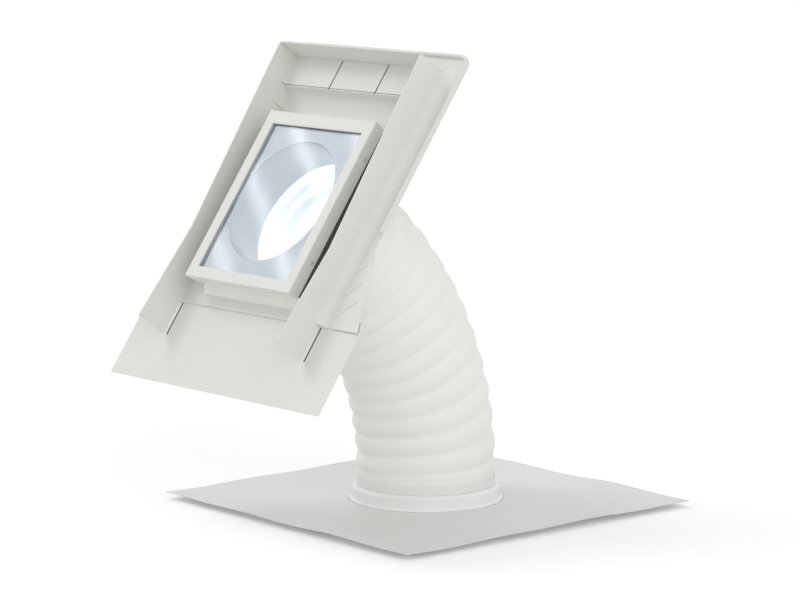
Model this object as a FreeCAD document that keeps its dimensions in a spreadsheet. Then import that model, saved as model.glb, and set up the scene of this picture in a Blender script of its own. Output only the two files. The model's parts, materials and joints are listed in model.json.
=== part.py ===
import FreeCAD, Part
import math
import os
import re
import Sketcher

# Tubular skylight: a roof unit with flat glass, a bent flexible light tube and a ceiling ring.
# Millimetres. The origin is on the ceiling ring's axis at the ceiling's lower face, +Z is up,
# +X runs along the eaves and +Y up the roof. The roof unit is drawn flat, with its own X along
# the eaves, Y up the slope and Z out of the roof, and is then tilted by the roof pitch.

os.makedirs("parts", exist_ok=True)
doc = FreeCAD.newDocument("TubularSkylight")

# Driving sizes
SIZES = [
    ("fit_gap", 0.3, "play between pieces that slide over each other"),
    ("roof_pitch", 55, "roof slope in degrees"),
    ("bend_radius", 800, "centreline radius of the tube's bend"),
    ("lower_straight", 75, "straight length below the bend"),
    ("upper_straight", 100, "straight length above the bend"),
    ("tube_foot", 18, "height of the tube's lower end"),
    ("tube_bore_radius", 178.2, "inner radius of the plain tube ends"),
    ("tube_wall", 3.6, "wall of the tube"),
    ("wave_pitch", 65, "distance from wave to wave"),
    ("wave_height", 7.6, "height of a wave, crest to valley"),
    ("wave_lift", 2.4, "mean rise of the waves over the plain ends"),
    ("rings_per_wave", 4, "sections that draw one wave"),
    ("lower_cuff", 66, "plain length at the lower end"),
    ("upper_cuff", 62, "plain length at the upper end"),
    ("top_ring_wall", 2.2, "sheet of the top ring"),
    ("top_ring_length", 52, "length of the top ring"),
    ("top_ring_lip", 7, "how far the top ring's lip turns out"),
    ("lap_angle", 9, "lap of the top ring's ends in degrees"),
    ("rivet_radius", 3, "radius of a rivet head"),
    ("flange_radius", 224, "outer radius of the ceiling flange"),
    ("flange_sheet", 3, "thickness of the ceiling flange"),
    ("ceiling_board", 12.5, "ceiling board between flange and film"),
    ("step_radius", 207, "radius of the step that fills the ceiling hole"),
    ("step_wall", 2.5, "wall of that step"),
    ("ring_height", 80, "top of the ring's wall above the ceiling face"),
    ("ring_wall", 2.6, "wall of the ceiling ring"),
    ("bead_level", 44, "height of the bead round the wall"),
    ("bead_rise", 1.2, "how far the bead stands out"),
    ("bead_width", 4, "width of the bead"),
    ("finger_foot", 24, "width of a spring finger at its foot"),
    ("finger_tip", 12, "width of a spring finger at its tip"),
    ("finger_slot", 4.5, "width of the slots beside a finger"),
    ("hook_reach", 4, "how far a finger's hook reaches inwards"),
    ("screw_circle_radius", 215, "radius of the ceiling screw circle"),
    ("screw_hole_radius", 2.25, "radius of a ceiling screw hole"),
    ("screw_count", 8, "ceiling screw holes"),
    ("diffuser_radius", 190, "outer radius of the diffuser"),
    ("diffuser_sheet", 3, "thickness of the diffuser's panes"),
    ("diffuser_depth", 27, "height of the diffuser's upstand"),
    ("upstand_wall", 2.5, "wall of the upstand"),
    ("upstand_play", 2.5, "room between upstand and ring"),
    ("lens_radius", 154, "radius of the diffuser's clear middle"),
    ("lens_recess", 1, "depth of the clear middle"),
    ("seal_height", 3, "height of the diffuser's seal"),
    ("lug_level", 18, "height of the bayonet lugs"),
    ("lug_height", 5, "height of a bayonet lug"),
    ("lug_angle", 14, "length of a bayonet lug in degrees"),
    ("groove_depth", 1.2, "depth of the bayonet groove in the ring"),
    ("film_side", 1000, "side of the square film"),
    ("film_sheet", 1.5, "thickness of the film"),
    ("film_hole_radius", 200, "hole in the film"),
    ("collar_radius", 198.6, "outer radius of the upright collar"),
    ("collar_flare_radius", 206, "radius of the collar's foot"),
    ("collar_wall", 1.8, "wall of the collar"),
    ("collar_height", 40, "height of the collar above the film"),
    ("collar_shoulder", 9, "height of the collar's drawn-in shoulder"),
    ("band_height", 24.5, "height of the clamp band"),
    ("band_wall", 2.6, "wall of the clamp band"),
    ("seat_depth", 8, "roof plane above the tube's upper end"),
    ("wall_span", 564, "width between the flashing's side walls"),
    ("wall_sheet", 5, "wall of the flashing"),
    ("wall_height", 111, "height of the flashing's walls at the head"),
    ("wall_dip", 87, "height of the side walls where they are lowest"),
    ("dip_place", 113, "lowest place of the side walls below the middle"),
    ("wall_corner", 14, "rounding of the walls' outer corners"),
    ("head_wall", 441, "head wall's inner face above the middle"),
    ("pan_foot", 292, "lower edge of the pan below the middle"),
    ("tongue_length", 100, "length of the walls' free ends"),
    ("tongue_height", 105, "height of the walls at their free ends"),
    ("tongue_lift", 9, "room under the walls' free ends"),
    ("skirt_width", 52, "flange beside the walls"),
    ("head_skirt_width", 59, "flange above the head wall"),
    ("skirt_sheet", 3, "thickness of the flange"),
    ("skirt_corner", 36, "corner radius of the flange"),
    ("rim_height", 10, "height of the flange's rim"),
    ("rim_width", 9, "width of the flange's rim"),
    ("rim_round", 3.5, "rounding of the rim's top"),
    ("rim_rib", 5, "width of a rib behind the rim"),
    ("foot_fillet", 32, "fillet at the walls' outer foot"),
    ("ledge_width", 12, "ledge under the pan's edge"),
    ("pan_sheet", 2.5, "thickness of the pan"),
    ("head_rise", 36, "rise of the pan's head over its floor"),
    ("head_fold", 352, "fold below the raised head"),
    ("gutter_width", 54, "width of the curved gutter below the fold"),
    ("groove_place", 93, "grooves from the middle of the head"),
    ("groove_width", 6, "width of a head groove"),
    ("groove_cut", 1.8, "depth of a head groove"),
    ("pan_edge", 7, "upturned edge beside the pan's head"),
    ("foot_bead", 3.5, "raised bead along the pan's foot"),
    ("apron_width", 862, "width of the apron"),
    ("apron_length", 230, "apron below the pan"),
    ("apron_lap", 30, "apron under the pan"),
    ("apron_sheet", 2, "thickness of the apron"),
    ("gusset_head", 15, "upper end of the wedge below the middle"),
    ("gusset_reach", 88, "wedge beyond the flange at its foot"),
    ("gusset_sheet", 2.5, "thickness of the wedge"),
    ("pleat_rise", 5, "height of a pleat"),
    ("pleat_width", 12, "width of a pleat at its foot"),
    ("pleat_reach", 60, "reach of the longest pleat"),
    ("kerb_width", 406, "width of the kerb"),
    ("kerb_length", 481.4, "length of the kerb up the slope"),
    ("kerb_wall", 10, "wall of the kerb"),
    ("kerb_top", 72, "top of the kerb above the pan's underside"),
    ("strip_depth", 11, "depth of each stepped strip in front of the kerb"),
    ("strip_height", 9, "height of each stepped strip"),
    ("frame_width", 428.6, "width of the cover frame's face"),
    ("frame_length", 502.9, "length of the cover frame's face"),
    ("frame_face", 85, "face of the cover frame above the pan's underside"),
    ("frame_depth", 38, "depth of the cover frame"),
    ("frame_draft", 6, "draft of the cover frame's sides in degrees"),
    ("frame_sheet", 3.5, "thickness of the frame's face at the glass"),
    ("side_border", 34.3, "frame face beside the glass"),
    ("head_border", 37.7, "frame face above the glass"),
    ("foot_border", 33, "frame face below the glass"),
    ("face_round", 2.5, "rounding of the frame's face edges"),
    ("lip_bevel", 2, "bevel of the frame's inner lip"),
    ("glass_sheet", 4, "thickness of the glass"),
    ("glass_bite", 6, "glass under the frame's face"),
    ("gasket_lip", 2.2, "rubber under the glass"),
    ("gasket_lap", 3.5, "rubber over and under the glass edge"),
    ("gasket_side", 2.5, "rubber beside the glass"),
    ("plate_sheet", 1.2, "thickness of the reflector plate"),
    ("neck_wall", 1.8, "wall of the roof neck"),
    ("neck_foot", 40, "neck below the pan's underside"),
    ("neck_rim", 8, "turned-out rim of the neck"),
    ("frame_screw_radius", 2, "shank of a frame screw"),
    ("frame_screw_head", 4, "radius of a frame screw's head"),
    ("frame_screw_reach", 9, "frame screw inside the kerb"),
    ("frame_screw_place", 150, "frame screws from the middle of the side"),
    ("frame_screw_level", 58, "height of the frame screws"),
]
sheet = doc.addObject("Spreadsheet::Sheet", "Sizes")
for row, (alias, value, note) in enumerate(SIZES, 1):
    sheet.set(f"A{row}", note)
    sheet.set(f"B{row}", str(value))
    sheet.setAlias(f"B{row}", alias)
doc.recompute()
ALIASES = {alias for alias, value, note in SIZES}


def cells(text):
    """An expression in the sheet's own names, with the sheet's name put before each."""
    return re.sub(r"[a-z_]+", lambda word: f"Sizes.{word[0]}" if word[0] in ALIASES else word[0], str(text))


def size(text):
    """The value of a driving size, or of an expression of such sizes."""
    return float(sheet.evalExpression(cells(text)))


# Places that several pieces share
TUBE_RADIUS = "(tube_bore_radius + tube_wall)"
RING_RADIUS = "(tube_bore_radius - fit_gap - bead_rise)"
RING_BORE = f"({RING_RADIUS} - ring_wall)"
UPSTAND_RADIUS = f"({RING_BORE} - upstand_play)"
FILM_TOP = "(ceiling_board + film_sheet)"
COLLAR_TOP = f"({FILM_TOP} + collar_height)"
LIP_RADIUS = f"({TUBE_RADIUS} + fit_gap)"
BAND_RADIUS = f"({LIP_RADIUS} + collar_wall + fit_gap)"
NECK_RADIUS = "(tube_bore_radius - fit_gap)"
HALF_SPAN = "(wall_span / 2)"
WALL_OUT = f"({HALF_SPAN} + wall_sheet)"
SKIRT_OUT = f"({WALL_OUT} + skirt_width)"
HEAD_OUT = "(head_wall + wall_sheet)"
SKIRT_HEAD = f"({HEAD_OUT} + head_skirt_width)"
KERB_BORE_WIDTH = "(kerb_width - 2 * kerb_wall)"
KERB_BORE_LENGTH = "(kerb_length - 2 * kerb_wall)"
PLATE_TOP = "(kerb_top + plate_sheet)"
GLASS_FOOT = f"({PLATE_TOP} + gasket_lip)"
GLASS_SIDE = "(frame_width / 2 - side_border + glass_bite)"
GLASS_HEAD = "(frame_length / 2 - head_border + glass_bite)"
GLASS_END = "(frame_length / 2 - foot_border + glass_bite)"
FACE_FOOT = "(frame_face - frame_sheet)"
UPPER_REACH = "(upper_straight + seat_depth)"
ROOF_Y = f"-(bend_radius * (1 - cos(roof_pitch)) + {UPPER_REACH} * sin(roof_pitch))"
ROOF_Z = f"tube_foot + lower_straight + bend_radius * sin(roof_pitch) + {UPPER_REACH} * cos(roof_pitch)"


# Ways of drawing that all pieces use
def new_body(label, on_roof=False):
    """An empty piece, drawn about the ceiling ring's axis or flat for the roof."""
    body = doc.addObject("PartDesign::Body", label)
    body.Label = label
    if on_roof:
        body.Placement = FreeCAD.Placement(FreeCAD.Vector(), FreeCAD.Rotation(FreeCAD.Vector(1, 0, 0), 1))
        body.setExpression("Placement.Base.y", cells(ROOF_Y))
        body.setExpression("Placement.Base.z", cells(ROOF_Z))
        body.setExpression("Placement.Rotation.Angle", cells("roof_pitch"))
    return body


def bind(target, name, text):
    """Ties one value of a sketch or a feature to the sheet."""
    target.setExpression(name, cells(text))


def new_sketch(body, name, plane, level="0"):
    """An empty sketch on one of the piece's own planes, lifted to a level."""
    sketch = body.newObject("Sketcher::SketchObject", f"{body.Name}_{name}")
    sketch.AttachmentSupport = ([f for f in body.Origin.OriginFeatures if f.Role == plane][0], "")
    sketch.MapMode = "FlatFace"
    bind(sketch, "AttachmentOffset.Base.z", level)
    return sketch


def add_outline(sketch, corners):
    """A closed outline of straight edges with each corner tied to the sheet."""
    count = len(corners)
    first = len(sketch.Geometry)
    turns = [2 * math.pi * index / count for index in range(count)]
    start = [FreeCAD.Vector(math.cos(turn), math.sin(turn), 0) * 50 for turn in turns]
    for index in range(count):
        sketch.addGeometry(Part.LineSegment(start[index], start[(index + 1) % count]))
    for index in range(count):
        following = first + (index + 1) % count
        sketch.addConstraint(Sketcher.Constraint("Coincident", first + index, 2, following, 1))
    for index, corner in enumerate(corners):
        for kind, value, text in zip(("DistanceX", "DistanceY"), (start[index].x, start[index].y), corner):
            number = sketch.addConstraint(Sketcher.Constraint(kind, first + index, 1, value))
            bind(sketch, f"Constraints[{number}]", text)


def add_circle(sketch, across, up, radius):
    """A circle with its centre and radius tied to the sheet."""
    circle = sketch.addGeometry(Part.Circle(FreeCAD.Vector(10, 10, 0), FreeCAD.Vector(0, 0, 1), 5))
    for kind, text in (("DistanceX", across), ("DistanceY", up)):
        number = sketch.addConstraint(Sketcher.Constraint(kind, circle, 3, 10))
        bind(sketch, f"Constraints[{number}]", text)
    number = sketch.addConstraint(Sketcher.Constraint("Radius", circle, 5))
    bind(sketch, f"Constraints[{number}]", radius)


def block(left, right, foot, head):
    """The corners of a rectangle."""
    return [(left, foot), (right, foot), (right, head), (left, head)]


def middle_block(width, length):
    """The corners of a rectangle about the middle."""
    return block(f"-{width} / 2", f"{width} / 2", f"-{length} / 2", f"{length} / 2")


def extrude(body, sketch, name, length, cut=False, backwards=False, both_ways=False):
    """Pads or cuts a sketch by a length, along its plane's own direction or backwards."""
    kind = "PartDesign::Pocket" if cut else "PartDesign::Pad"
    feature = body.newObject(kind, f"{body.Name}_{name}")
    feature.Profile = sketch
    bind(feature, "Length", length)
    feature.Midplane = both_ways
    feature.Reversed = backwards != cut
    doc.recompute()
    return feature


def turn(body, name, section, degrees="360", middle=False):
    """Turns a section about the piece's own upright axis."""
    sketch = new_sketch(body, f"{name}_section", "XZ_Plane")
    add_outline(sketch, section)
    feature = body.newObject("PartDesign::Revolution", f"{body.Name}_{name}")
    feature.Profile = sketch
    feature.ReferenceAxis = (sketch, ["V_Axis"])
    bind(feature, "Angle", degrees)
    feature.Midplane = middle
    doc.recompute()
    return feature


def round_edges(body, name, kind, value, chosen):
    """Rounds or bevels the edges of the piece's last feature that a test picks out."""
    base = body.Tip
    edges = [f"Edge{number}" for number, edge in enumerate(base.Shape.Edges, 1) if chosen(edge)]
    feature = body.newObject(f"PartDesign::{kind}", f"{body.Name}_{name}")
    feature.Base = (base, edges)
    bind(feature, "Radius" if kind == "Fillet" else "Size", value)
    doc.recompute()
    return feature


def repeat_round(body, name, features, count, sketch):
    """Repeats features evenly round the piece's upright axis."""
    pattern = body.newObject("PartDesign::PolarPattern", f"{body.Name}_{name}")
    pattern.Originals = features
    pattern.Axis = (sketch, ["N_Axis"])
    pattern.Angle = 360
    bind(pattern, "Occurrences", count)
    body.Tip = pattern
    doc.recompute()
    return pattern


def near(value, target):
    """Whether two lengths agree."""
    return abs(value - target) < 0.01


def upright_at(across, up):
    """Picks upright edges at mirrored places left and right of the middle."""
    def chosen(edge):
        ends = [vertex.Point for vertex in edge.Vertexes]
        if len(ends) < 2 or not near((ends[0] - ends[1]).x, 0) or not near((ends[0] - ends[1]).y, 0):
            return False
        return near(abs(ends[0].x), across) and near(ends[0].y, up)
    return chosen


def lying_at(level, inside):
    """Picks edges at one level whose middle passes a test."""
    def chosen(edge):
        box = edge.BoundBox
        if not near(box.ZMin, level) or not near(box.ZMax, level):
            return False
        return inside(edge.CenterOfMass)
    return chosen


# Ceiling ring: flange under the ceiling, hollow step in the ceiling hole, slotted wall for the tube
ceiling_ring = new_body("ceiling_ring")
turn(ceiling_ring, "ring", [
    (f"{RING_BORE}", "seal_height"),
    ("diffuser_radius", "seal_height"),
    ("diffuser_radius", "seal_height + step_wall"),
    (RING_RADIUS, "seal_height + step_wall"),
    (RING_RADIUS, "ceiling_board - step_wall"),
    ("step_radius - step_wall", "ceiling_board - step_wall"),
    ("step_radius - step_wall", "-flange_sheet"),
    ("flange_radius", "-flange_sheet"),
    ("flange_radius", "0"),
    ("step_radius", "0"),
    ("step_radius", "ceiling_board"),
    (RING_RADIUS, "ceiling_board"),
    (RING_RADIUS, "bead_level - bead_width"),
    (f"{RING_RADIUS} + bead_rise", "bead_level - bead_width / 4"),
    (f"{RING_RADIUS} + bead_rise", "bead_level + bead_width / 4"),
    (RING_RADIUS, "bead_level + bead_width"),
    (RING_RADIUS, "ring_height"),
    (RING_BORE, "ring_height"),
    (RING_BORE, "lug_level + lug_height + fit_gap"),
    (f"{RING_BORE} + groove_depth", "lug_level + lug_height + fit_gap"),
    (f"{RING_BORE} + groove_depth", "lug_level"),
    (RING_BORE, "lug_level"),
])
slots = new_sketch(ceiling_ring, "slots", "YZ_Plane")
for side in ("", "-"):
    add_outline(slots, [
        (f"{side}finger_foot / 2", f"{FILM_TOP} + finger_slot"),
        (f"{side}(finger_foot / 2 + finger_slot)", f"{FILM_TOP} + finger_slot"),
        (f"{side}(finger_tip / 2 + finger_slot)", "ring_height + finger_slot"),
        (f"{side}finger_tip / 2", "ring_height + finger_slot"),
    ])
slot_cut = extrude(ceiling_ring, slots, "slot_cut", "flange_radius", cut=True)
plan = new_sketch(ceiling_ring, "screw_holes", "XY_Plane", "-flange_sheet")
add_circle(plan, "screw_circle_radius", "0", "screw_hole_radius")
repeat_round(ceiling_ring, "slot_pattern", [slot_cut], "4", plan)
screw_cut = extrude(ceiling_ring, plan, "screw_cut", "flange_sheet", cut=True)
repeat_round(ceiling_ring, "screw_pattern", [screw_cut], "screw_count", plan)

hook_plan = new_sketch(ceiling_ring, "hook_plan", "XY_Plane", "ring_height - bead_width")
add_outline(hook_plan, block(
    f"{RING_BORE} - hook_reach", f"{RING_RADIUS} - bead_rise", "-finger_tip / 4", "finger_tip / 4"))
hook = extrude(ceiling_ring, hook_plan, "hook", "bead_width")
repeat_round(ceiling_ring, "hooks", [hook], "4", hook_plan)

# Diffuser: clear pan with an upstand and four bayonet lugs, a disc above it and a foam seal
diffuser_pane = new_body("diffuser_pane")
turn(diffuser_pane, "pan", [
    ("0", "-diffuser_sheet"),
    ("diffuser_radius", "-diffuser_sheet"),
    ("diffuser_radius", "0"),
    (UPSTAND_RADIUS, "0"),
    (UPSTAND_RADIUS, "diffuser_depth"),
    (f"{UPSTAND_RADIUS} - upstand_wall", "diffuser_depth"),
    (f"{UPSTAND_RADIUS} - upstand_wall", "diffuser_depth - diffuser_sheet"),
    (f"{UPSTAND_RADIUS} - 2 * upstand_wall", "diffuser_depth - diffuser_sheet"),
    (f"{UPSTAND_RADIUS} - 2 * upstand_wall", "0"),
    ("lens_radius", "0"),
    ("lens_radius", "-lens_recess"),
    ("0", "-lens_recess"),
])
lug_sketch = new_sketch(diffuser_pane, "lug_axis", "XY_Plane")
add_circle(lug_sketch, "0", "0", "lens_radius")
lug = turn(diffuser_pane, "lug", [
    (f"{UPSTAND_RADIUS} - upstand_wall", "lug_level"),
    (f"{RING_BORE} + groove_depth - fit_gap", "lug_level"),
    (f"{RING_BORE} + groove_depth - fit_gap", "lug_level + lug_height"),
    (f"{UPSTAND_RADIUS} - upstand_wall", "lug_level + lug_height"),
], degrees="lug_angle", middle=True)
repeat_round(diffuser_pane, "lugs", [lug], "4", lug_sketch)

diffuser_inner_pane = new_body("diffuser_inner_pane")
turn(diffuser_inner_pane, "disc", [
    ("0", "diffuser_depth - diffuser_sheet"),
    (f"{UPSTAND_RADIUS} - upstand_wall - fit_gap", "diffuser_depth - diffuser_sheet"),
    (f"{UPSTAND_RADIUS} - upstand_wall - fit_gap", "diffuser_depth"),
    ("0", "diffuser_depth"),
])

diffuser_seal = new_body("diffuser_seal")
turn(diffuser_seal, "ring", block(f"{RING_BORE}", "diffuser_radius - fit_gap", "0", "seal_height"))

# Vapour barrier: square film on the step, and a collar drawn in to a lip under the clamp band
vapour_sheet = new_body("vapour_sheet")
film = new_sketch(vapour_sheet, "film", "XY_Plane", "ceiling_board")
add_outline(film, middle_block("film_side", "film_side"))
add_circle(film, "0", "0", "film_hole_radius")
extrude(vapour_sheet, film, "sheet", "film_sheet")

vapour_collar = new_body("vapour_collar")
turn(vapour_collar, "collar", [
    ("collar_radius - collar_wall", FILM_TOP),
    ("collar_flare_radius", FILM_TOP),
    ("collar_flare_radius", f"{FILM_TOP} + collar_wall"),
    ("collar_radius + collar_wall", f"{FILM_TOP} + 2 * collar_wall"),
    ("collar_radius", f"{FILM_TOP} + collar_shoulder"),
    ("collar_radius", f"{COLLAR_TOP} - collar_shoulder"),
    (f"({LIP_RADIUS} + collar_radius) / 2 + collar_wall", f"{COLLAR_TOP}"),
    (f"{LIP_RADIUS} + collar_wall", f"{COLLAR_TOP}"),
    (f"{LIP_RADIUS} + collar_wall", f"{COLLAR_TOP} + fit_gap + band_height"),
    (LIP_RADIUS, f"{COLLAR_TOP} + fit_gap + band_height"),
    (LIP_RADIUS, f"{COLLAR_TOP} - collar_wall"),
    (f"({LIP_RADIUS} + collar_radius) / 2", f"{COLLAR_TOP} - collar_wall"),
    ("collar_radius - collar_wall", f"{COLLAR_TOP} - collar_shoulder"),
])

clamp_band = new_body("clamp_band")
BAND_FOOT = f"({COLLAR_TOP} + fit_gap)"
turn(clamp_band, "band", block(
    BAND_RADIUS, f"{BAND_RADIUS} + band_wall", BAND_FOOT, f"{BAND_FOOT} + band_height"))


# Flexible tube: waves that climb round a bent centreline like a screw, with plain ends
PITCH = math.radians(size("roof_pitch"))
BEND_LENGTH = size("bend_radius") * PITCH
TUBE_LENGTH = size("lower_straight") + BEND_LENGTH + size("upper_straight")
WAVED_LENGTH = TUBE_LENGTH - size("lower_cuff") - size("upper_cuff")


def tube_ring(travel):
    """A round section at a distance along the tube, pushed off the centreline by the wave there."""
    angle = min(max((travel - size("lower_straight")) / size("bend_radius"), 0), PITCH)
    below = min(travel, size("lower_straight"))
    above = max(travel - size("lower_straight") - BEND_LENGTH, 0)
    side = FreeCAD.Vector(1, 0, 0)
    across = FreeCAD.Vector(0, math.cos(angle), math.sin(angle))
    along = FreeCAD.Vector(0, -math.sin(angle), math.cos(angle))
    bend = FreeCAD.Vector(0, math.cos(angle) - 1, math.sin(angle)) * size("bend_radius")
    centre = FreeCAD.Vector(0, 0, below) + bend + along * above
    from_end = min(travel - size("lower_cuff"), size("lower_cuff") + WAVED_LENGTH - travel)
    rise = min(max(2 * from_end / size("wave_pitch"), 0), 1)
    share = rise * rise * (3 - 2 * rise)
    phase = 2 * math.pi * travel / size("wave_pitch")
    push = (side * math.cos(phase) + across * math.sin(phase)) * (share * size("wave_height") / 2)
    ring = Part.makeCircle(size("tube_bore_radius") + size("tube_wall") + share * size("wave_lift"))
    ring.Placement = FreeCAD.Placement(centre + push, FreeCAD.Rotation(side, math.degrees(angle)))
    return ring


steps = math.ceil(WAVED_LENGTH / size("wave_pitch") * size("rings_per_wave"))
waved = [size("lower_cuff") + WAVED_LENGTH * step / steps for step in range(steps + 1)]
rings = [tube_ring(travel) for travel in [0, *waved, TUBE_LENGTH]]
tube_faces = [Part.makeRuledSurface(ring, following) for ring, following in zip(rings, rings[1:])]

# Its smooth bore: straight, bent and straight again
eaves = FreeCAD.Vector(1, 0, 0)
lower = FreeCAD.Vector(0, 0, size("lower_straight"))
upper = FreeCAD.Vector(0, -math.sin(PITCH), math.cos(PITCH)) * size("upper_straight")
bend_middle = lower - FreeCAD.Vector(0, size("bend_radius"), 0)
bore_foot = Part.makeCircle(size("tube_bore_radius"))
bore_bend = bore_foot.translated(lower)
bore_neck = bore_bend.rotated(bend_middle, eaves, size("roof_pitch"))
tube_faces.append(bore_foot.extrude(lower))
tube_faces.append(bore_neck.extrude(upper))
BORE_STEPS = 12
turns = [size("roof_pitch") * step / BORE_STEPS for step in range(BORE_STEPS + 1)]
bore_rings = [bore_bend.rotated(bend_middle, eaves, turn_by) for turn_by in turns]
tube_faces += [Part.makeRuledSurface(ring, following) for ring, following in zip(bore_rings, bore_rings[1:])]
for rim, bore in ((rings[0], bore_foot), (rings[-1], bore_neck.translated(upper))):
    tube_faces.append(Part.Face([Part.Wire(rim), Part.Wire(bore)], "Part::FaceMakerBullseye"))
tube_shell = Part.makeShell(tube_faces)
tube_shell.sewShape()
flexible_tube = doc.addObject("Part::Feature", "flexible_tube")
flexible_tube.Label = "flexible_tube"
flexible_tube.Shape = Part.makeSolid(tube_shell)
flexible_tube.Placement = FreeCAD.Placement(FreeCAD.Vector(0, 0, size("tube_foot")), FreeCAD.Rotation())

# Top ring: rolled strip round the tube's upper end, its lip turned out and its ends lapped
TOP_RING_RADIUS = f"({TUBE_RADIUS} + fit_gap)"
TOP_RING_OUT = f"({TOP_RING_RADIUS} + top_ring_wall)"
tube_top_ring = new_body("tube_top_ring", on_roof=True)
turn(tube_top_ring, "strip", [
    (TOP_RING_RADIUS, "-(seat_depth + top_ring_length)"),
    (TOP_RING_OUT, "-(seat_depth + top_ring_length)"),
    (TOP_RING_OUT, "-(seat_depth + top_ring_lip)"),
    (f"{TOP_RING_OUT} + top_ring_lip", "-(seat_depth + top_ring_wall)"),
    (f"{TOP_RING_OUT} + top_ring_lip", "-seat_depth"),
    (f"{TOP_RING_RADIUS} + top_ring_lip / 2", "-seat_depth"),
    (TOP_RING_RADIUS, "-(seat_depth + top_ring_lip)"),
])
LAP_HEAD = "-(seat_depth + top_ring_lip + fit_gap)"
turn(tube_top_ring, "lap", block(
    f"{TOP_RING_OUT} - top_ring_wall / 2", f"{TOP_RING_OUT} + top_ring_wall",
    "-(seat_depth + top_ring_length)", LAP_HEAD), degrees="lap_angle", middle=True)

lap_rivets = new_body("lap_rivets", on_roof=True)
lap_rivets.AllowCompound = True
rivet_plan = new_sketch(lap_rivets, "plan", "YZ_Plane", f"{TOP_RING_OUT} + top_ring_wall")
for share in ("1 / 4", "3 / 4"):
    level = f"-(seat_depth + top_ring_lip + (top_ring_length - top_ring_lip) * {share})"
    add_circle(rivet_plan, "0", level, "rivet_radius")
extrude(lap_rivets, rivet_plan, "heads", "rivet_radius / 2")

# Roof neck and reflector plate: bright sheet under the glass that leads light into the tube
roof_neck = new_body("roof_neck", on_roof=True)
turn(roof_neck, "neck", [
    (f"{NECK_RADIUS} - neck_wall", "-neck_foot"),
    (NECK_RADIUS, "-neck_foot"),
    (NECK_RADIUS, "kerb_top - neck_wall"),
    (f"{NECK_RADIUS} + neck_rim", "kerb_top - neck_wall"),
    (f"{NECK_RADIUS} + neck_rim", "kerb_top"),
    (f"{NECK_RADIUS} - neck_wall", "kerb_top"),
])

reflector_plate = new_body("reflector_plate", on_roof=True)
plate = new_sketch(reflector_plate, "plate", "XY_Plane", "kerb_top")
add_outline(plate, middle_block("kerb_width", "kerb_length"))
add_circle(plate, "0", "0", f"{NECK_RADIUS} - neck_wall")
extrude(reflector_plate, plate, "sheet", "plate_sheet")

# Kerb: open box on the pan, with two stepped strips in front
glazing_kerb = new_body("glazing_kerb", on_roof=True)
kerb = new_sketch(glazing_kerb, "kerb", "XY_Plane", "pan_sheet")
add_outline(kerb, middle_block("kerb_width", "kerb_length"))
add_outline(kerb, middle_block(KERB_BORE_WIDTH, KERB_BORE_LENGTH))
extrude(glazing_kerb, kerb, "box", "kerb_top - pan_sheet")
for number in (1, 2):
    strip = new_sketch(glazing_kerb, f"strip{number}", "XY_Plane", "pan_sheet")
    add_outline(strip, block(
        "-kerb_width / 2", "kerb_width / 2",
        f"-(kerb_length / 2 + {number} * strip_depth)", "-(kerb_length - kerb_wall) / 2"))
    extrude(glazing_kerb, strip, f"strip_pad{number}", f"strip_height * {3 - number}")
HOLE_REACH = "frame_width + kerb_width"
kerb_holes = new_sketch(glazing_kerb, "holes", "YZ_Plane")
for side in ("", "-"):
    add_circle(kerb_holes, f"{side}frame_screw_place", "frame_screw_level", "frame_screw_radius + fit_gap")
extrude(glazing_kerb, kerb_holes, "hole_cut", HOLE_REACH, cut=True, both_ways=True)

# Cover frame: drafted moulding round the glass, hollow below, with a bevelled inner lip
glazing_frame = new_body("glazing_frame", on_roof=True)
cover = new_sketch(glazing_frame, "cover", "XY_Plane", "frame_face")
add_outline(cover, middle_block("frame_width", "frame_length"))
cover_pad = extrude(glazing_frame, cover, "cover_pad", "frame_depth", backwards=True)
bind(cover_pad, "TaperAngle", "-frame_draft")
doc.recompute()
round_edges(glazing_frame, "face_rounding", "Fillet", "face_round",
            lying_at(size("frame_face"), lambda point: True))
hollow = new_sketch(glazing_frame, "hollow", "XY_Plane", "frame_face - frame_depth")
add_outline(hollow, middle_block("(kerb_width + 2 * fit_gap)", "(kerb_length + 2 * fit_gap)"))
extrude(glazing_frame, hollow, "hollow_cut", f"{PLATE_TOP} - (frame_face - frame_depth)", cut=True)
rebate = new_sketch(glazing_frame, "rebate", "XY_Plane", PLATE_TOP)
add_outline(rebate, block(
    f"-({GLASS_SIDE} + gasket_side)", f"{GLASS_SIDE} + gasket_side",
    f"-({GLASS_END} + gasket_side)", f"{GLASS_HEAD} + gasket_side"))
extrude(glazing_frame, rebate, "rebate_cut", f"{FACE_FOOT} - {PLATE_TOP}", cut=True)
light = new_sketch(glazing_frame, "light", "XY_Plane", "frame_face")
add_outline(light, block(
    f"-({GLASS_SIDE} - glass_bite)", f"{GLASS_SIDE} - glass_bite",
    f"-({GLASS_END} - glass_bite)", f"{GLASS_HEAD} - glass_bite"))
extrude(glazing_frame, light, "light_cut", "frame_depth", cut=True, backwards=True)
round_edges(glazing_frame, "lip", "Chamfer", "lip_bevel", lying_at(
    size("frame_face"), lambda point: abs(point.x) < size("frame_width / 2 - face_round * 2")
    and abs(point.y) < size("frame_length / 2 - face_round * 2")))
frame_holes = new_sketch(glazing_frame, "holes", "YZ_Plane")
for side in ("", "-"):
    add_circle(frame_holes, f"{side}frame_screw_place", "frame_screw_level", "frame_screw_radius + fit_gap")
extrude(glazing_frame, frame_holes, "hole_cut", HOLE_REACH, cut=True, both_ways=True)

# Glass and the rubber channel round its edge
glass_pane = new_body("glass_pane", on_roof=True)
glass = new_sketch(glass_pane, "glass", "XY_Plane", GLASS_FOOT)
add_outline(glass, block(f"-{GLASS_SIDE}", GLASS_SIDE, f"-{GLASS_END}", GLASS_HEAD))
extrude(glass_pane, glass, "pane", "glass_sheet")

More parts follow.
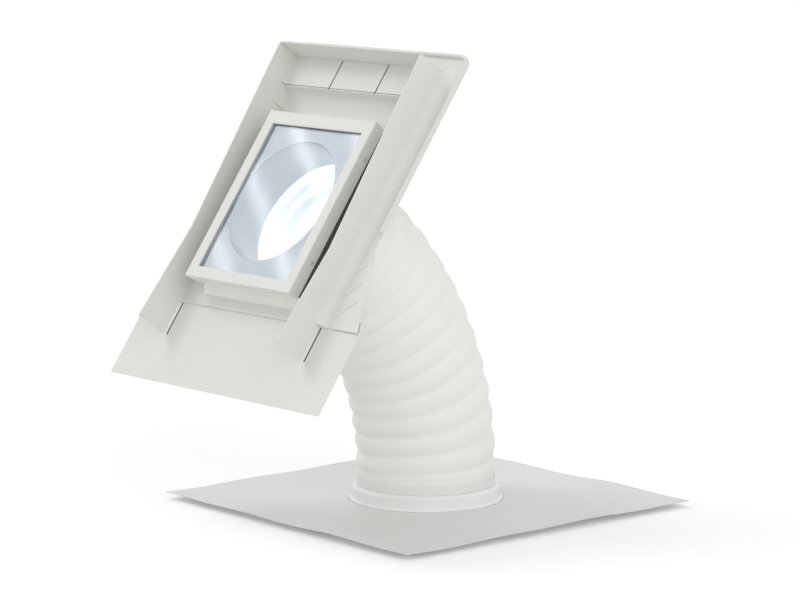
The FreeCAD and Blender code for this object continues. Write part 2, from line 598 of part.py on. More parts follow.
glazing_gasket = new_body("glazing_gasket", on_roof=True)
rubber = new_sketch(glazing_gasket, "rubber", "XY_Plane", PLATE_TOP)
for grow in ("gasket_side", "-gasket_lap"):
    add_outline(rubber, block(
        f"-({GLASS_SIDE} + {grow})", f"{GLASS_SIDE} + {grow}",
        f"-({GLASS_END} + {grow})", f"{GLASS_HEAD} + {grow}"))
extrude(glazing_gasket, rubber, "channel", f"{FACE_FOOT} - {PLATE_TOP}")
slot = new_sketch(glazing_gasket, "slot", "XY_Plane", GLASS_FOOT)
add_outline(slot, block(f"-{GLASS_SIDE}", GLASS_SIDE, f"-{GLASS_END}", GLASS_HEAD))
extrude(glazing_gasket, slot, "slot_cut", "glass_sheet", cut=True)

# Flashing surround: flange with a raised rim, side and head walls, and the walls' free lower ends
flashing_surround = new_body("flashing_surround", on_roof=True)
skirt = new_sketch(flashing_surround, "skirt", "XY_Plane", "-skirt_sheet")
LEDGE_SIDE = f"({HALF_SPAN} - ledge_width)"
LEDGE_HEAD = "(head_wall - ledge_width)"


def arch(side, head):
    """The corners of an arch that is open at the pan's foot."""
    return [(f"-{side}", "-pan_foot"), (f"-{side}", head), (side, head), (side, "-pan_foot")]


add_outline(skirt, arch(SKIRT_OUT, SKIRT_HEAD) + arch(LEDGE_SIDE, LEDGE_HEAD)[::-1])
extrude(flashing_surround, skirt, "skirt_pad", "skirt_sheet + rim_height")
tray = new_sketch(flashing_surround, "tray", "XY_Plane", "rim_height")
add_outline(tray, [
    (f"-({SKIRT_OUT} - rim_width)", "-pan_foot - rim_width"),
    (f"-({SKIRT_OUT} - rim_width)", f"{SKIRT_HEAD} - rim_width"),
    (f"{SKIRT_OUT} - rim_width", f"{SKIRT_HEAD} - rim_width"),
    (f"{SKIRT_OUT} - rim_width", "-pan_foot - rim_width"),
])
extrude(flashing_surround, tray, "tray_cut", "rim_height", cut=True, backwards=True)
round_edges(flashing_surround, "tray_corners", "Fillet", "skirt_corner - rim_width", upright_at(
    size(f"{SKIRT_OUT} - rim_width"), size(f"{SKIRT_HEAD} - rim_width")))
round_edges(flashing_surround, "corners", "Fillet", "skirt_corner", upright_at(
    size(SKIRT_OUT), size(SKIRT_HEAD)))
round_edges(flashing_surround, "rim_top", "Fillet", "rim_round", lying_at(
    size("rim_height"), lambda point: point.y > 1 - size("pan_foot")))
ribs = new_sketch(flashing_surround, "ribs", "XY_Plane")
notches = new_sketch(flashing_surround, "notches", "XY_Plane", "rim_height")
for side in ("-", ""):
    add_outline(ribs, block(
        f"{side}groove_place - rim_rib / 2", f"{side}groove_place + rim_rib / 2",
        f"{SKIRT_HEAD} - 2 * rim_width", f"{SKIRT_HEAD} - rim_width / 2"))
    add_outline(notches, block(
        f"{side}({SKIRT_OUT} - rim_width / 2) - rim_width",
        f"{side}({SKIRT_OUT} - rim_width / 2) + rim_width",
        "-pan_foot - rim_width", "-gusset_head"))
extrude(flashing_surround, ribs, "rib_pad", "rim_height")
extrude(flashing_surround, notches, "notch_cut", "rim_height", cut=True, backwards=True)
walls = new_sketch(flashing_surround, "walls", "XY_Plane", "-skirt_sheet")
add_outline(walls, arch(WALL_OUT, HEAD_OUT) + arch(HALF_SPAN, "head_wall")[::-1])
extrude(flashing_surround, walls, "wall_pad", "wall_height + skirt_sheet")
round_edges(flashing_surround, "wall_corners", "Fillet", "wall_corner", upright_at(
    size(WALL_OUT), size(HEAD_OUT)))


def at_outer_foot(point):
    """Whether a place is on the line where the walls' outer faces meet the flange."""
    at_side = near(abs(point.x), size(WALL_OUT))
    at_head = near(point.y, size(HEAD_OUT))
    from_corner = (abs(point.x) - size(WALL_OUT), point.y - size(HEAD_OUT))
    at_corner = all(-size("wall_corner") < distance < 0 for distance in from_corner)
    return (at_side or at_head or at_corner) and point.y > 1 - size("pan_foot")


round_edges(flashing_surround, "foot", "Fillet", "foot_fillet", lying_at(0, at_outer_foot))
tongues = new_sketch(flashing_surround, "tongues", "XY_Plane", "tongue_lift")
for side in ("-", ""):
    add_outline(tongues, block(
        f"{side}{HALF_SPAN}", f"{side}{WALL_OUT}",
        "-(pan_foot + tongue_length)", "-(pan_foot - wall_sheet)"))
extrude(flashing_surround, tongues, "tongue_pad", "wall_height - tongue_lift")
crest = new_sketch(flashing_surround, "crest", "YZ_Plane")
add_outline(crest, [
    ("-(pan_foot + tongue_length + wall_sheet)", "tongue_height"),
    ("-(pan_foot + tongue_length)", "tongue_height"),
    ("-dip_place", "wall_dip"),
    ("head_wall", "wall_height"),
    ("head_wall", "wall_height + wall_sheet"),
    ("-(pan_foot + tongue_length + wall_sheet)", "wall_height + wall_sheet"),
])
extrude(flashing_surround, crest, "crest_cut", f"2 * {SKIRT_OUT}", cut=True, both_ways=True)

# Pan: one folded sheet with a raised head, a curved gutter, a beaded foot and a light opening
flashing_pan = new_body("flashing_pan", on_roof=True)
section = new_sketch(flashing_pan, "section", "YZ_Plane")
PAN_HEAD = "(head_wall - fit_gap)"
GUTTER_STEPS = 10
gutter_top = []
gutter_foot = []
for step in range(GUTTER_STEPS):
    along = step / GUTTER_STEPS
    rise = 1 - math.sqrt(1 - (1 - along) ** 2)
    gutter_top.append((f"head_fold - {along:.4f} * gutter_width", f"pan_sheet + {rise:.4f} * head_rise"))
    gutter_foot.append((f"head_fold + pan_sheet - {along:.4f} * gutter_width", f"{rise:.4f} * head_rise"))
add_outline(section, [
    ("-pan_foot", "-skirt_sheet"),
    ("-pan_foot", "pan_sheet + foot_bead"),
    ("-(pan_foot - 2 * pan_sheet)", "pan_sheet + foot_bead"),
    ("-(pan_foot - 2 * pan_sheet)", "pan_sheet"),
    ("head_fold - gutter_width", "pan_sheet"),
    *gutter_top[::-1],
    (PAN_HEAD, "head_rise + pan_sheet"),
    (PAN_HEAD, "head_rise"),
    *gutter_foot,
    ("head_fold + pan_sheet - gutter_width", "0"),
    ("-(pan_foot - pan_sheet)", "0"),
    ("-(pan_foot - pan_sheet)", "-skirt_sheet"),
])
extrude(flashing_pan, section, "sheet", f"2 * ({HALF_SPAN} - fit_gap)", both_ways=True)
ends = new_sketch(flashing_pan, "foot_ends", "XY_Plane")
for side in ("-", ""):
    add_outline(ends, block(
        f"{side}({LEDGE_SIDE} - fit_gap)", f"{side}{WALL_OUT}",
        "-(pan_foot + pan_sheet)", "-(pan_foot - 2 * pan_sheet)"))
extrude(flashing_pan, ends, "foot_end_cut", "2 * skirt_sheet", cut=True, backwards=True)
edges = new_sketch(flashing_pan, "edges", "XY_Plane", "pan_sheet / 2")
for side in ("-", ""):
    add_outline(edges, block(
        f"{side}({HALF_SPAN} - fit_gap - pan_sheet)", f"{side}({HALF_SPAN} - fit_gap)",
        "head_fold - gutter_width", PAN_HEAD))
extrude(flashing_pan, edges, "edge_pad", "head_rise + pan_sheet / 2 + pan_edge")
opening = new_sketch(flashing_pan, "opening", "XY_Plane", "head_rise")
add_outline(opening, middle_block(KERB_BORE_WIDTH, KERB_BORE_LENGTH))
extrude(flashing_pan, opening, "opening_cut", "head_rise + skirt_sheet", cut=True, backwards=True)
grooves = new_sketch(flashing_pan, "grooves", "XY_Plane", "head_rise + pan_sheet")
for side in ("-", ""):
    add_outline(grooves, block(
        f"{side}groove_place - groove_width / 2", f"{side}groove_place + groove_width / 2",
        "head_fold", PAN_HEAD))
extrude(flashing_pan, grooves, "groove_pocket", "groove_cut", cut=True, backwards=True)

# Apron: flexible sheet below the pan, tucked under it
apron = new_body("apron", on_roof=True)
flap = new_sketch(apron, "flap", "XY_Plane", "-(skirt_sheet + apron_sheet)")
add_outline(flap, block(
    "-apron_width / 2", "apron_width / 2", "-(pan_foot + apron_length)", "-(pan_foot - apron_lap)"))
extrude(apron, flap, "sheet", "apron_sheet")

# Side wedges: pleated flexible sheets on the lower flange, one left and one right
PLEATS = [0.43, 0.67, 0.9]
WEDGE_IN = f"({WALL_OUT} + foot_fillet + fit_gap)"
for name, side in (("side_gusset_left", "-"), ("side_gusset_right", "")):
    wedge_body = new_body(name, on_roof=True)
    wedge = new_sketch(wedge_body, "wedge", "XY_Plane")
    add_outline(wedge, [
        (f"{side}{WEDGE_IN}", "-pan_foot"),
        (f"{side}({SKIRT_OUT} + gusset_reach)", "-pan_foot"),
        (f"{side}({SKIRT_OUT} - rim_width)", "-(gusset_head + rim_width)"),
        (f"{side}{WEDGE_IN}", "-(gusset_head + rim_width)"),
    ])
    extrude(wedge_body, wedge, "sheet", "gusset_sheet")
    for number, share in enumerate(PLEATS):
        level = f"-(gusset_head + {share} * (pan_foot - gusset_head))"
        reach = f"{share} * pleat_reach"
        pleat = new_sketch(wedge_body, f"pleat{number}", "XY_Plane", "gusset_sheet / 2")
        add_outline(pleat, [
            (f"{side}({WEDGE_IN} + fit_gap)", level),
            (f"{side}({WEDGE_IN} + {reach})", f"{level} + {reach}"),
            (f"{side}({WEDGE_IN} + fit_gap)", f"{level} + pleat_width"),
        ])
        extrude(wedge_body, pleat, f"pleat_pad{number}", "pleat_rise")

# Frame screws: pan heads on the cover frame's sides, shanks in the kerb
frame_screws = new_body("frame_screws", on_roof=True)
frame_screws.AllowCompound = True
HEAD_TOP = "(frame_screw_level + frame_screw_head)"
SCREW_SEAT = f"(frame_width / 2 - (frame_face - {HEAD_TOP}) * tan(frame_draft))"
screw_features = []
for name, radius, length, backwards in (
        ("heads", "frame_screw_head", "frame_screw_head / 2", False),
        ("shanks", "frame_screw_radius", f"{SCREW_SEAT} - (kerb_width / 2 - frame_screw_reach)", True)):
    screws = new_sketch(frame_screws, name, "YZ_Plane", SCREW_SEAT)
    for side in ("", "-"):
        add_circle(screws, f"{side}frame_screw_place", "frame_screw_level", radius)
    screw_features.append(extrude(frame_screws, screws, f"{name}_pad", length, backwards=backwards))
other_side = frame_screws.newObject("PartDesign::Mirrored", "frame_screws_other_side")
other_side.Originals = screw_features
other_side.MirrorPlane = ([f for f in frame_screws.Origin.OriginFeatures if f.Role == "YZ_Plane"][0], [""])
frame_screws.Tip = other_side

# Check every object, then write one file for each piece
doc.recompute()
pieces = [obj for obj in doc.Objects if obj.TypeId == "PartDesign::Body" or obj.Name == "flexible_tube"]
for obj in doc.Objects:
    if {"Invalid", "Error"} & set(obj.State):
        raise RuntimeError(f"{obj.Name} failed: {obj.State}")
for piece in pieces:
    if piece.Shape.isNull() or not piece.Shape.isValid():
        raise RuntimeError(f"{piece.Label} has no valid shape")
for piece in pieces:
    piece.Shape.exportStep(f"parts/{piece.Label}.step")
    print(piece.Label, len(piece.Shape.Solids), round(piece.Shape.Volume / 1000, 1), "cm3")
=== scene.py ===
import json
from math import atan2, cos, pi, radians, sin, sqrt

import bmesh
import bpy
from mathutils import Matrix, Vector


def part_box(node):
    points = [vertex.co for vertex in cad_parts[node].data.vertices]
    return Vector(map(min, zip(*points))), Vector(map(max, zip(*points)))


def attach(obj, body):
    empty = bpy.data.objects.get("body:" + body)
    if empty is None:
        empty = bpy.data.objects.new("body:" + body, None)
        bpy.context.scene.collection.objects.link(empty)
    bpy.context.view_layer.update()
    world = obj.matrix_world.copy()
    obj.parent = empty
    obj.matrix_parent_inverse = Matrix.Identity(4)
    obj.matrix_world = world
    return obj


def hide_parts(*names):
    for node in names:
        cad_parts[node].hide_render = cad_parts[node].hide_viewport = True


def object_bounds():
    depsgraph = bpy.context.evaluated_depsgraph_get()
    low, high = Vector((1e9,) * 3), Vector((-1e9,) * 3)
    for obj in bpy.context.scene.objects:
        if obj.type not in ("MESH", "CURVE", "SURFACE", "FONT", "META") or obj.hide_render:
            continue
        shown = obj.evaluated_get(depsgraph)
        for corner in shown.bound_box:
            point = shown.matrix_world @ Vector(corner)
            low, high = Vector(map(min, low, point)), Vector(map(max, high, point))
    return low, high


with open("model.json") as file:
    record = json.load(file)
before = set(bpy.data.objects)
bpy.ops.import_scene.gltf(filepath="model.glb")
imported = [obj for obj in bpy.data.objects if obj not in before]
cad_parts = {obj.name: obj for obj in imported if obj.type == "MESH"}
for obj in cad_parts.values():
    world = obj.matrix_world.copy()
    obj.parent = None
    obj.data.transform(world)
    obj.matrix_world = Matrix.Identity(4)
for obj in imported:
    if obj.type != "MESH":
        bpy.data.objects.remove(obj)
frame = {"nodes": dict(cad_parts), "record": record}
cad_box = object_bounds()


# Flashing surround: one moulding of grey coated plastic with a flange, three upright walls and two
# free wall ends over the tiles. Its edges are rounded by the mould and its skin has a fine grain.
class Shade:
    """A value in a finish. Sums and products of such values add the nodes that work them out."""

    def __init__(self, tree, socket=None):
        self.tree = tree
        self.socket = socket

    def node(self, kind, settings=None, sockets=None, output=0):
        made = self.tree.nodes.new(kind)
        for name, value in (settings or {}).items():
            setattr(made, name, value)
        for name, value in (sockets or {}).items():
            if isinstance(value, Shade):
                self.tree.links.new(value.socket, made.inputs[name])
            else:
                made.inputs[name].default_value = value
        return Shade(self.tree, made.outputs[output] if made.outputs else None)

    def maths(self, operation, first, second):
        return self.node("ShaderNodeMath", {"operation": operation}, {0: first, 1: second})

    def __add__(self, other):
        return self.maths("ADD", self, other)

    def __radd__(self, other):
        return self.maths("ADD", other, self)

    def __mul__(self, other):
        return self.maths("MULTIPLY", self, other)

    def __rmul__(self, other):
        return self.maths("MULTIPLY", other, self)


def new_finish(name):
    """An empty finish and the tools to fill it: its nodes, places on the piece, and its output."""
    finish = bpy.data.materials.new(name)
    finish.use_nodes = True
    finish.node_tree.nodes.clear()
    shade = Shade(finish.node_tree)
    place = shade.node("ShaderNodeTexCoord", output="Object")
    return finish, shade, place


def put_on(shade, surface):
    """Ends a finish with the surface that it shows."""
    shade.node("ShaderNodeOutputMaterial", sockets={"Surface": surface})


def speckle(shade, place, scale, detail=3):
    """Cloudy noise with a number of clouds to the metre."""
    return shade.node("ShaderNodeTexNoise", sockets={
        "Vector": place, "Scale": scale, "Detail": detail})


def tint(shade, share, one, other):
    """A colour between two, by a share."""
    sockets = {"Factor": share, "A": (*one, 1), "B": (*other, 1)}
    return shade.node("ShaderNodeMix", {"data_type": "RGBA"}, sockets, "Result")


def tones(colour, deep, pale):
    """A darker and a paler tone of a colour."""
    return [part * deep for part in colour], [min(part * pale, 1) for part in colour]


def relief(shade, height, depth, strength=1.0):
    """A surface normal that follows a height map of a real depth in metres."""
    return shade.node("ShaderNodeBump", sockets={
        "Height": height, "Distance": depth, "Strength": strength})


def uneven(level, swing, noise):
    """A level that noise moves up and down by half a swing."""
    return level - swing / 2 + noise * swing


GLOSS_SWING = 0.16


def moulded(name, colour, roughness, grain=900, grain_depth=0.00012):
    """Grained plastic or coated sheet: faint clouds in its colour and gloss, and a fine skin."""
    finish, shade, place = new_finish(name)
    clouds = speckle(shade, place, scale=7)
    patches = speckle(shade, place, scale=55)
    grains = speckle(shade, place, scale=grain, detail=2)
    share = clouds * 0.6 + patches * 0.4
    surface = shade.node("ShaderNodeBsdfPrincipled", sockets={
        "Base Color": tint(shade, share, *tones(colour, deep=0.95, pale=1.04)),
        "Roughness": uneven(roughness, GLOSS_SWING, patches),
        "Normal": relief(shade, grains, grain_depth),
        "Specular IOR Level": 0.4,
    })
    put_on(shade, surface)
    return finish


SHARP_TURN = radians(30)
FLAT_TURN = radians(0.5)
SAME_POINT = 1e-5
SAME_CUT = 1e-6


def merged(node):
    """A copy of a CAD piece as one closed mesh with whole flat faces."""
    shape = bmesh.new()
    shape.from_mesh(frame["nodes"][node].data)
    bmesh.ops.remove_doubles(shape, verts=shape.verts, dist=SAME_POINT)
    bmesh.ops.dissolve_limit(shape, angle_limit=FLAT_TURN, verts=shape.verts, edges=shape.edges)
    return shape


def softened(node, rounding, steps=2):
    """A copy of a CAD piece with its sharp edges rounded."""
    shape = merged(node)
    closed = [edge for edge in shape.edges if edge.is_manifold]
    sharp = [edge for edge in closed if edge.calc_face_angle() > SHARP_TURN]
    bmesh.ops.bevel(shape, geom=sharp, offset=rounding, offset_type="OFFSET", affect="EDGES",
                    segments=steps, profile=0.5, material=-1, clamp_overlap=True)
    bmesh.ops.remove_doubles(shape, verts=shape.verts, dist=SAME_CUT)
    return shape


def show(node, shape, finishes):
    """Puts a finished mesh in the scene as the piece that stands for a CAD node."""
    name = f"{node}_piece"
    mesh = bpy.data.meshes.new(name)
    shape.to_mesh(mesh)
    shape.free()
    mesh.shade_smooth()
    for finish in finishes:
        mesh.materials.append(finish)
    piece = bpy.data.objects.new(name, mesh)
    bpy.context.scene.collection.objects.link(piece)
    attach(piece, "root")
    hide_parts(node)
    return piece


def show_even(node, shape, finishes):
    """Shows a worked copy of a CAD piece with even shading."""
    piece = show(node, shape, finishes)
    piece.modifiers.new("even_shading", "WEIGHTED_NORMAL").keep_sharp = True
    return piece


def show_softened(node, finish, rounding, steps=2):
    """Shows a CAD piece with rounded edges in one finish."""
    show_even(node, softened(node, rounding, steps), [finish])


FLASHING_GREY = (0.77, 0.77, 0.735)
flashing_skin = moulded("flashing_skin", FLASHING_GREY, roughness=0.55)
show_softened("flashing_surround", flashing_skin, rounding=0.0012, steps=3)


# Flashing pan: one folded sheet between the walls, with a raised head, two grooves and a gutter.
# It is coated sheet metal, a little smoother than the moulding, and its folds are tight.
GROOVE_PLACE = 0.093
GROOVE_WIDTH = 0.006
GROOVE_FLOOR = 0.0397
GROOVE_SLACK = 0.0004
HEAD_FOLD = 0.352
FOLD_LINE = (0.0025, 0.0045)
roof_seat = [mount for mount in frame["record"]["mounts"] if mount["name"] == "roof_seat"][0]
roof_pitch = atan2(roof_seat["axis"][1], -roof_seat["axis"][2])
seat_middle = Vector(roof_seat["pos_m"])


def roof_place(point):
    """A place as distances along the eaves, up the slope and out of the roof from its underside."""
    from_seat = Vector(point) - seat_middle
    along = from_seat.y * cos(roof_pitch) + from_seat.z * sin(roof_pitch)
    out = from_seat.z * cos(roof_pitch) - from_seat.y * sin(roof_pitch)
    return from_seat.x, along, out


def score(shape, place, direction):
    """Cuts a mesh along a plane, so that a finish can end there."""
    whole = shape.verts[:] + shape.edges[:] + shape.faces[:]
    bmesh.ops.bisect_plane(shape, geom=whole, dist=SAME_CUT, plane_co=place, plane_no=direction)


pan_coat = moulded("pan_coat", FLASHING_GREY, roughness=0.48, grain=600, grain_depth=0.00006)
# Painted shade: a dark finish that stands in for the shade in the grooves and along the head fold.
painted_groove_shade = moulded("painted_groove_shade", (0.2, 0.2, 0.195), roughness=0.7)
pan = softened("flashing_pan", rounding=0.0005)
up_slope = Vector((0, cos(roof_pitch), sin(roof_pitch)))
for edge_place in FOLD_LINE:
    score(pan, seat_middle + up_slope * (HEAD_FOLD + edge_place), up_slope)
# The floors of the two grooves and a thin band along the head fold take the painted shade.
for face in pan.faces:
    across, along, out = roof_place(face.calc_center_median())
    in_groove = abs(abs(across) - GROOVE_PLACE) < GROOVE_WIDTH / 2 and along > HEAD_FOLD
    groove_floor = in_groove and abs(out - GROOVE_FLOOR) < GROOVE_SLACK
    at_fold = FOLD_LINE[0] < along - HEAD_FOLD < FOLD_LINE[1]
    fold_line = at_fold and out > GROOVE_FLOOR + GROOVE_SLACK
    if groove_floor or fold_line:
        face.material_index = 1
show_even("flashing_pan", pan, [pan_coat, painted_groove_shade])


# Apron and side wedges: thin flexible sheet that is dressed over the tiles, with three sewn pleats
# on each wedge. A light grey coat over woven backing shows as a very fine crossed ripple. Two
# near-black strips on the apron under the free wall ends are painted shadow of the gap beneath them.
APRON_GREY = (0.78, 0.78, 0.745)
GAP_SHADE_SIDES = (0.2815, 0.2875)
GAP_SHADE_ENDS = (-0.39, -0.294)
apron_coat, shade, place = new_finish("apron_coat")
clouds = speckle(shade, place, scale=5)
dents = speckle(shade, place, scale=26)
threads = {"Vector": place, "Scale": 130, "Distortion": 0.6}
weave = shade.node("ShaderNodeTexWave", {"bands_direction": "X"}, threads)
cross_weave = shade.node("ShaderNodeTexWave", {"bands_direction": "Z"}, threads)
apron_height = dents * 0.8 + weave * cross_weave * 0.12
surface = shade.node("ShaderNodeBsdfPrincipled", sockets={
    "Base Color": tint(shade, clouds, *tones(APRON_GREY, deep=0.96, pale=1.03)),
    "Roughness": 0.5 + dents * 0.14,
    "Normal": relief(shade, apron_height, depth=0.0008),
    "Specular IOR Level": 0.35,
})
put_on(shade, surface)
# Painted shadow: a near-black grained finish for the shade in the gaps under the free wall ends and
# beside the kerb.
painted_gap_shade = moulded("painted_gap_shade", (0.1, 0.1, 0.096), roughness=0.85, grain=500, grain_depth=0.0004)
apron = softened("apron", rounding=0.0006)
for gap_shade_side in GAP_SHADE_SIDES:
    score(apron, (-gap_shade_side, 0, 0), (1, 0, 0))
    score(apron, (gap_shade_side, 0, 0), (1, 0, 0))
for gap_shade_end in GAP_SHADE_ENDS:
    score(apron, seat_middle + up_slope * gap_shade_end, up_slope)
apron.normal_update()
# Apron faces right under each free wall end take the painted shadow.
for face in apron.faces:
    across, along, _ = roof_place(face.calc_center_median())
    in_line = GAP_SHADE_SIDES[0] < abs(across) < GAP_SHADE_SIDES[1]
    under_wall = in_line and GAP_SHADE_ENDS[0] < along < GAP_SHADE_ENDS[1]
    if under_wall and face.normal.z > 0:
        face.material_index = 1
show_even("apron", apron, [apron_coat, painted_gap_shade])
show_softened("side_gusset_left", apron_coat, rounding=0.0006)
show_softened("side_gusset_right", apron_coat, rounding=0.0006)


# Glazing kerb: the upstand that lifts the glass off the pan, with two stepped strips in front.
# It is a matt foam moulding in off-white, with painted shade down both sides for the dark gap under
# the frame.
KERB_SIDE = 0.2
KERB_FRONT = -0.236
SIDEWAYS = 0.9
kerb_skin = moulded("kerb_skin", (0.92, 0.92, 0.885), roughness=0.6)
kerb = softened("glazing_kerb", rounding=0.001)
kerb.normal_update()
# Both side faces of the kerb behind its front take the painted shade of the gap under the frame.
for face in kerb.faces:
    across, along, _ = roof_place(face.calc_center_median())
    if abs(face.normal.x) > SIDEWAYS and abs(across) > KERB_SIDE and along > KERB_FRONT:
        face.material_index = 1
show_even("glazing_kerb", kerb, [kerb_skin, painted_gap_shade])


# Reflector plate and neck: bright anodised sheet under the glass, rolled into a short neck that
# leads daylight into the tube. Fine rolling lines run along the sheet.
LINE_SWING = 0.1


def bright_sheet(name, colour, roughness, painted_glow=0.0):
    """Mirror-like sheet metal with fine rolling lines along the eaves, and a painted glow that stands
    in for daylight.
    """
    finish, shade, place = new_finish(name)
    stretched = shade.node("ShaderNodeMapping", sockets={"Vector": place, "Scale": (3, 160, 160)})
    lines = speckle(shade, stretched, scale=5, detail=2)
    clouds = speckle(shade, place, scale=9)
    surface = shade.node("ShaderNodeBsdfPrincipled", sockets={
        "Base Color": tint(shade, clouds, *tones(colour, deep=0.96, pale=1.03)),
        "Metallic": 1.0,
        "Roughness": uneven(roughness, LINE_SWING, lines),
        "Normal": relief(shade, lines, depth=0.00004),
        # Painted glow: the sheet gives off a little light though it is no lamp.
        "Emission Color": (0.95, 0.98, 1, 1),
        "Emission Strength": painted_glow,
    })
    put_on(shade, surface)
    return finish


plate_sheet = bright_sheet("plate_sheet", (0.42, 0.44, 0.465), roughness=0.36)
neck_sheet = bright_sheet("neck_sheet", (0.64, 0.672, 0.70), roughness=0.36)
show_softened("reflector_plate", plate_sheet, rounding=0.0003)
show_softened("roof_neck", neck_sheet, rounding=0.0005)


# Glass and its rubber channel: one flat pane of float glass held in pale rubber under the frame.
# The pane is clear with a cold tint and lets the daylight through.
rubber_skin = moulded("rubber_skin", (0.80, 0.81, 0.81), roughness=0.65, grain=1400)
show_softened("glazing_gasket", rubber_skin, rounding=0.0003)


def clear_sheet(name, tint_colour, roughness, ripple, bend=1.46):
    """Clear glass or acrylic that daylight passes, with a faint ripple in its gloss."""
    finish, shade, place = new_finish(name)
    waves = speckle(shade, place, scale=6, detail=1)
    glass = shade.node("ShaderNodeBsdfPrincipled", sockets={
        "Base Color": (*tint_colour, 1),
        "Roughness": roughness,
        "Transmission Weight": 1.0,
        "IOR": bend,
        "Normal": relief(shade, waves, ripple),
    })
    let_through = shade.node("ShaderNodeBsdfTransparent", sockets={"Color": (*tint_colour, 1)})
    is_shadow = shade.node("ShaderNodeLightPath", output="Is Shadow Ray")
    is_diffuse = shade.node("ShaderNodeLightPath", output="Is Diffuse Ray")
    light_passes = shade.maths("MAXIMUM", is_shadow, is_diffuse)
    surface = shade.node("ShaderNodeMixShader", sockets={
        "Fac": light_passes, 1: glass, 2: let_through})
    put_on(shade, surface)
    return finish


pane_glass = clear_sheet("pane_glass", (0.95, 0.98, 1.0), roughness=0.0, ripple=0.0004)
show_softened("glass_pane", pane_glass, rounding=0.0005)


# Cover frame and its screws: an off-white satin moulding that sits over the glass, with drafted
# sides and a bevelled lip, and four steel screws through its sides into the kerb.
FRAME_WHITE = (0.785, 0.785, 0.755)
frame_skin = moulded("frame_skin", FRAME_WHITE, roughness=0.42, grain=1100, grain_depth=0.00006)
frame_piece = show_even("glazing_frame", merged("glazing_frame"), [frame_skin])
frame_piece.data.set_sharp_from_angle(angle=SHARP_TURN)


def worked_steel(name, colour, roughness):
    """Plain bright metal with small clouds in its gloss."""
    finish, shade, place = new_finish(name)
    clouds = speckle(shade, place, scale=120)
    surface = shade.node("ShaderNodeBsdfPrincipled", sockets={
        "Base Color": tint(shade, clouds, *tones(colour, deep=0.9, pale=1)),
        "Metallic": 1.0,
        "Roughness": uneven(roughness, GLOSS_SWING, clouds),
    })
    put_on(shade, surface)
    return finish


screw_steel = worked_steel("screw_steel", (0.72, 0.72, 0.70), roughness=0.3)
show_softened("frame_screws", screw_steel, rounding=0.0004, steps=3)


# Flexible tube: laminated film on a sprung wire that climbs like a screw, so the wall bulges
# between the turns. It is off-white satin outside and silvered inside, with plain cuffs at both ends.
BEND_RADIUS = 0.8
LOWER_STRAIGHT = 0.075
UPPER_STRAIGHT = 0.1
CUFF_RADIUS = 0.1818
LOWER_CUFF = 0.066
UPPER_CUFF = 0.062
WAVE_PITCH = 0.065
WAVE_HALF = 0.0038
WAVE_LIFT = 0.0024
VALLEY_ROUNDING = 0.02
BULGE_DROP = 1.15
BROAD_WANDER = 0.28
FINE_WANDER = 0.2
SLACK = 0.22
CRUMPLE = 0.0005
FILM_WALL = 0.0032
SEGMENTS_AROUND = 160
ROWS = 216
GRID_HALF = 0.5
tube_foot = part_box("flexible_tube")[0].z
bend_length = BEND_RADIUS * roof_pitch
tube_length = LOWER_STRAIGHT + bend_length + UPPER_STRAIGHT


def tube_centre(travel):
    """The tube's centreline at a distance from its foot, and how far it has bent there."""
    angle = min(max((travel - LOWER_STRAIGHT) / BEND_RADIUS, 0), roof_pitch)
    above = max(travel - LOWER_STRAIGHT - bend_length, 0)
    height = tube_foot + min(travel, LOWER_STRAIGHT) + BEND_RADIUS * sin(angle) + above * cos(angle)
    return Vector((0, BEND_RADIUS * (cos(angle) - 1) - above * sin(angle), height)), angle


def wave_at(around, travel, turns, rate, start=0):
    """A wave that turns some times round the tube while it runs along it at a rate."""
    return sin(turns * around + rate * travel + start)


def tube_reach(travel, around):
    """The tube's outer radius: broad bulges between narrow valleys, fading out at the cuffs."""
    place = around, travel
    from_end = min(travel - LOWER_CUFF, tube_length - UPPER_CUFF - travel)
    rise = min(max(2 * from_end / WAVE_PITCH, 0), 1)
    share = rise * rise * (3 - 2 * rise)
    broad = BROAD_WANDER * wave_at(*place, turns=3, rate=11)
    fine = FINE_WANDER * wave_at(*place, turns=2, rate=-23, start=0.7)
    phase = 2 * pi * travel / WAVE_PITCH - around + (broad + fine)
    bulge = 2 * sqrt(cos(phase / 2) ** 2 + VALLEY_ROUNDING) - BULGE_DROP
    slack = 1 + SLACK * wave_at(*place, turns=2, rate=9) * wave_at(*place, turns=0, rate=17, start=1.3)
    crumple = CRUMPLE * wave_at(*place, turns=7, rate=31) * wave_at(*place, turns=3, rate=23)
    return CUFF_RADIUS + share * (WAVE_LIFT + WAVE_HALF * bulge * slack + crumple)


tube = bmesh.new()
bmesh.ops.create_grid(tube, x_segments=SEGMENTS_AROUND, y_segments=ROWS, size=GRID_HALF)
for point in tube.verts:
    around = 2 * pi * (point.co.x + GRID_HALF)
    travel = tube_length * (point.co.y + GRID_HALF)
    centre, angle = tube_centre(travel)
    across = Vector((0, cos(angle), sin(angle)))
    reach = tube_reach(travel, around)
    point.co = centre + Vector((1, 0, 0)) * reach * cos(around) + across * reach * sin(around)
bmesh.ops.remove_doubles(tube, verts=tube.verts, dist=SAME_POINT)
bmesh.ops.recalc_face_normals(tube, faces=tube.faces)

TUBE_WHITE = (0.92, 0.92, 0.885)
film_coat, shade, place = new_finish("film_coat")
clouds = speckle(shade, place, scale=8)
creases = speckle(shade, place, scale=70, detail=4)
pinch = speckle(shade, place, scale=420, detail=2)
surface = shade.node("ShaderNodeBsdfPrincipled", sockets={
    "Base Color": tint(shade, clouds, *tones(TUBE_WHITE, deep=0.97, pale=1.02)),
    "Roughness": 0.46 + creases * 0.14,
    "Normal": relief(shade, creases * 0.75 + pinch * 0.25, depth=0.0009, strength=0.8),
    "Specular IOR Level": 0.4,
})
put_on(shade, surface)
